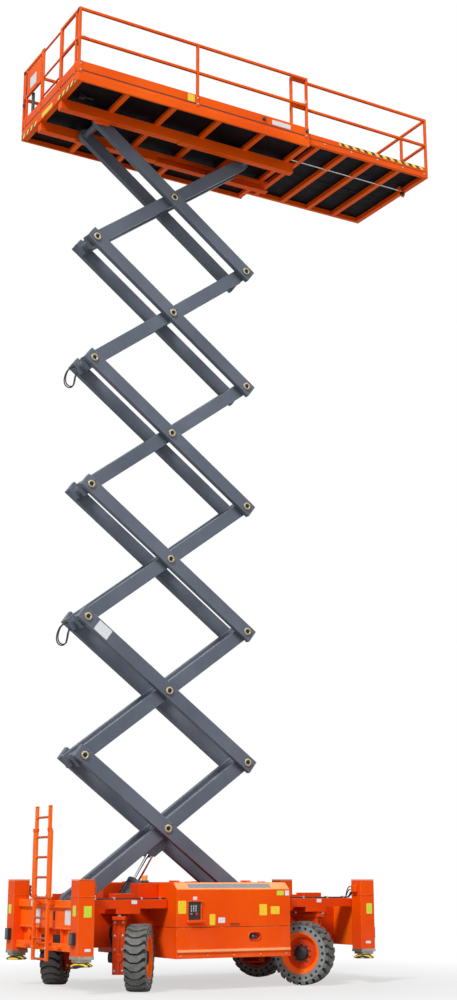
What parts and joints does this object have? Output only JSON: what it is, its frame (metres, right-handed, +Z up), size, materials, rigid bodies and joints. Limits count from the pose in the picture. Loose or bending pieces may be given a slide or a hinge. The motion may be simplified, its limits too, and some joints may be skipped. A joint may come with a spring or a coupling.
{
  "type": "scissor lift",
  "caption": "Mobile scissor lift with a raised crossed-arm stack, roll-out guard-railed deck, steered lugged wheels, corner jacks and hinged side hoods.",
  "frame": {"origin": "on the ground under the middle of the whole machine's box", "axes": "+X along the machine towards the roll-out deck, +Y away from the side with the ground controls, +Z up"},
  "size_m": [6.82, 2.7936, 14.7317],
  "materials": {
    "orange": "gloss",
    "arm_grey": "satin",
    "black_panel": "satin",
    "tyre": "matte",
    "zinc": "satin",
    "chrome": "polished",
    "lamp": "matte",
    "amber": "gloss",
    "engine": "matte"
  },
  "bodies": {
    "chassis": {"chassis_frame": "orange", "end_frames": "orange", "jack_posts": "orange", "cabinet_near": "orange", "cabinet_far": "orange", "engine_block": "engine", "ladder": "orange", "lamps": "lamp", "beacon": "amber"},
    "hood_near": {"hood_near": "orange", "ground_controls": "lamp"},
    "hood_far": {"hood_far": "orange"},
    "knuckle_1": {"knuckle_1": "orange"},
    "wheel_1": {"tyre_1": "tyre", "rim_1": "orange"},
    "leg_1": {"leg_1": "zinc"},
    "knuckle_2": {"knuckle_2": "orange"},
    "wheel_2": {"tyre_2": "tyre", "rim_2": "orange"},
    "leg_2": {"leg_2": "zinc"},
    "knuckle_3": {"knuckle_3": "orange"},
    "wheel_3": {"tyre_3": "tyre", "rim_3": "orange"},
    "leg_3": {"leg_3": "zinc"},
    "knuckle_4": {"knuckle_4": "orange"},
    "wheel_4": {"tyre_4": "tyre", "rim_4": "orange"},
    "leg_4": {"leg_4": "zinc"},
    "inner_1": {"inner_arms_1": "arm_grey"},
    "outer_1": {"outer_arms_1": "arm_grey"},
    "inner_2": {"inner_arms_2": "arm_grey"},
    "outer_2": {"outer_arms_2": "arm_grey"},
    "inner_3": {"inner_arms_3": "arm_grey"},
    "outer_3": {"outer_arms_3": "arm_grey"},
    "inner_4": {"inner_arms_4": "arm_grey"},
    "outer_4": {"outer_arms_4": "arm_grey"},
    "inner_5": {"inner_arms_5": "arm_grey"},
    "outer_5": {"outer_arms_5": "arm_grey"},
    "inner_6": {"inner_arms_6": "arm_grey"},
    "outer_6": {"outer_arms_6": "arm_grey"},
    "lift_barrel": {"lift_barrel": "arm_grey"},
    "lift_rod": {"lift_rod": "chrome"},
    "platform": {"platform_frame": "orange", "platform_deck": "black_panel", "platform_edges": "orange", "platform_rails": "orange", "platform_controls": "lamp"},
    "gate": {"gate": "orange"},
    "extension": {"extension_frame": "orange", "extension_deck": "black_panel", "extension_rails": "orange"}
  },
  "joints": [
    {"name": "lift", "type": "hinge", "parent": "chassis", "child": "inner_1", "pos_m": [-2.64, 0, 1.2], "axis": [0, -1, 0], "range_deg": [-32.5, 25.5]},
    {"name": "cross_1", "type": "hinge", "parent": "inner_1", "child": "outer_1", "pos_m": [-1.27344, 0, 2.2112], "axis": [0, 1, 0], "range_deg": [-65.5, 51.5]},
    {"name": "fold_2", "type": "hinge", "parent": "outer_1", "child": "inner_2", "pos_m": [-2.64, 0, 3.2224], "axis": [0, -1, 0], "range_deg": [-65.5, 51.5]},
    {"name": "cross_2", "type": "hinge", "parent": "inner_2", "child": "outer_2", "pos_m": [-1.27344, 0, 4.2336], "axis": [0, 1, 0], "range_deg": [-65.5, 51.5]},
    {"name": "fold_3", "type": "hinge", "parent": "outer_2", "child": "inner_3", "pos_m": [-2.64, 0, 5.24479], "axis": [0, -1, 0], "range_deg": [-65.5, 51.5]},
    {"name": "cross_3", "type": "hinge", "parent": "inner_3", "child": "outer_3", "pos_m": [-1.27344, 0, 6.25599], "axis": [0, 1, 0], "range_deg": [-65.5, 51.5]},
    {"name": "fold_4", "type": "hinge", "parent": "outer_3", "child": "inner_4", "pos_m": [-2.64, 0, 7.26719], "axis": [0, -1, 0], "range_deg": [-65.5, 51.5]},
    {"name": "cross_4", "type": "hinge", "parent": "inner_4", "child": "outer_4", "pos_m": [-1.27344, 0, 8.27839], "axis": [0, 1, 0], "range_deg": [-65.5, 51.5]},
    {"name": "fold_5", "type": "hinge", "parent": "outer_4", "child": "inner_5", "pos_m": [-2.64, 0, 9.28959], "axis": [0, -1, 0], "range_deg": [-65.5, 51.5]},
    {"name": "cross_5", "type": "hinge", "parent": "inner_5", "child": "outer_5", "pos_m": [-1.27344, 0, 10.30079], "axis": [0, 1, 0], "range_deg": [-65.5, 51.5]},
    {"name": "fold_6", "type": "hinge", "parent": "outer_5", "child": "inner_6", "pos_m": [-2.64, 0, 11.31199], "axis": [0, -1, 0], "range_deg": [-65.5, 51.5]},
    {"name": "cross_6", "type": "hinge", "parent": "inner_6", "child": "outer_6", "pos_m": [-1.27344, 0, 12.32319], "axis": [0, 1, 0], "range_deg": [-65.5, 51.5]},
    {"name": "platform_level", "type": "hinge", "parent": "outer_6", "child": "platform", "pos_m": [-2.64, 0, 13.33438], "axis": [0, -1, 0], "range_deg": [-33, 26]},
    {"name": "barrel_swing", "type": "hinge", "parent": "chassis", "child": "lift_barrel", "pos_m": [-2.09, 0, 0.74], "axis": [0, -1, 0], "range_deg": [-33, 26]},
    {"name": "rod_slide", "type": "slide", "parent": "lift_barrel", "child": "lift_rod", "axis": [0.5287, 0, 0.8488], "range_m": [-0.3936, 0.3099]},
    {"name": "steer_front", "type": "hinge", "parent": "chassis", "child": "knuckle_1", "pos_m": [-2.24, -0.8, 1.1], "axis": [0, 0, 1], "range_deg": [-108, 0]},
    {"name": "wheel_spin_1", "type": "hinge", "parent": "knuckle_1", "child": "wheel_1", "pos_m": [-2.03775, -0.94695, 0.45], "axis": [-0.809, 0.5878, 0], "continuous": true},
    {"name": "steer_front_far", "type": "hinge", "parent": "chassis", "child": "knuckle_2", "pos_m": [-2.24, 0.8, 1.1], "axis": [0, 0, 1], "range_deg": [-108.5, 0.5]},
    {"name": "wheel_spin_2", "type": "hinge", "parent": "knuckle_2", "child": "wheel_2", "pos_m": [-2.44225, 0.94695, 0.45], "axis": [-0.809, 0.5878, 0], "continuous": true},
    {"name": "steer_rear", "type": "hinge", "parent": "chassis", "child": "knuckle_3", "pos_m": [0.86, -0.8, 1.1], "axis": [0, 0, -1], "range_deg": [-108, 0]},
    {"name": "wheel_spin_3", "type": "hinge", "parent": "knuckle_3", "child": "wheel_3", "pos_m": [0.65775, -0.94695, 0.45], "axis": [0.809, 0.5878, 0], "continuous": true},
    {"name": "steer_rear_far", "type": "hinge", "parent": "chassis", "child": "knuckle_4", "pos_m": [0.86, 0.8, 1.1], "axis": [0, 0, -1], "range_deg": [-108.5, 0.5]},
    {"name": "wheel_spin_4", "type": "hinge", "parent": "knuckle_4", "child": "wheel_4", "pos_m": [1.06225, 0.94695, 0.45], "axis": [0.809, 0.5878, 0], "continuous": true},
    {"name": "jack_1", "type": "slide", "parent": "chassis", "child": "leg_1", "axis": [0, 0, -1], "range_m": [0, 0.75]},
    {"name": "jack_2", "type": "slide", "parent": "chassis", "child": "leg_2", "axis": [0, 0, -1], "range_m": [0, 0.75]},
    {"name": "jack_3", "type": "slide", "parent": "chassis", "child": "leg_3", "axis": [0, 0, -1], "range_m": [0, 0.75]},
    {"name": "jack_4", "type": "slide", "parent": "chassis", "child": "leg_4", "axis": [0, 0, -1], "range_m": [0, 0.75]},
    {"name": "roll_out", "type": "slide", "parent": "platform", "child": "extension", "axis": [1, 0, 0], "range_m": [-2.35, 0]},
    {"name": "gate_swing", "type": "hinge", "parent": "platform", "child": "gate", "pos_m": [-3.39, 0.302, 14.33438], "axis": [0, 0, 1], "range_deg": [0, 90]},
    {"name": "hood_near_lift", "type": "hinge", "parent": "chassis", "child": "hood_near", "pos_m": [-0.69, -0.48, 1.462], "axis": [-1, 0, 0], "range_deg": [0, 60]},
    {"name": "hood_far_lift", "type": "hinge", "parent": "chassis", "child": "hood_far", "pos_m": [-0.69, 0.48, 1.462], "axis": [1, 0, 0], "range_deg": [0, 60]}
  ],
  "couplings": [
    {"joint": "cross_1", "follows": "lift", "ratio": 2},
    {"joint": "fold_2", "follows": "lift", "ratio": 2},
    {"joint": "cross_2", "follows": "lift", "ratio": 2},
    {"joint": "fold_3", "follows": "lift", "ratio": 2},
    {"joint": "cross_3", "follows": "lift", "ratio": 2},
    {"joint": "fold_4", "follows": "lift", "ratio": 2},
    {"joint": "cross_4", "follows": "lift", "ratio": 2},
    {"joint": "fold_5", "follows": "lift", "ratio": 2},
    {"joint": "cross_5", "follows": "lift", "ratio": 2},
    {"joint": "fold_6", "follows": "lift", "ratio": 2},
    {"joint": "cross_6", "follows": "lift", "ratio": 2},
    {"joint": "platform_level", "follows": "lift", "ratio": 1},
    {"joint": "barrel_swing", "follows": "lift", "ratio": 1},
    {"joint": "rod_slide", "follows": "lift", "m_per_rad": 0.685},
    {"joint": "steer_front_far", "follows": "steer_front", "ratio": 1},
    {"joint": "steer_rear_far", "follows": "steer_rear", "ratio": 1}
  ]
}
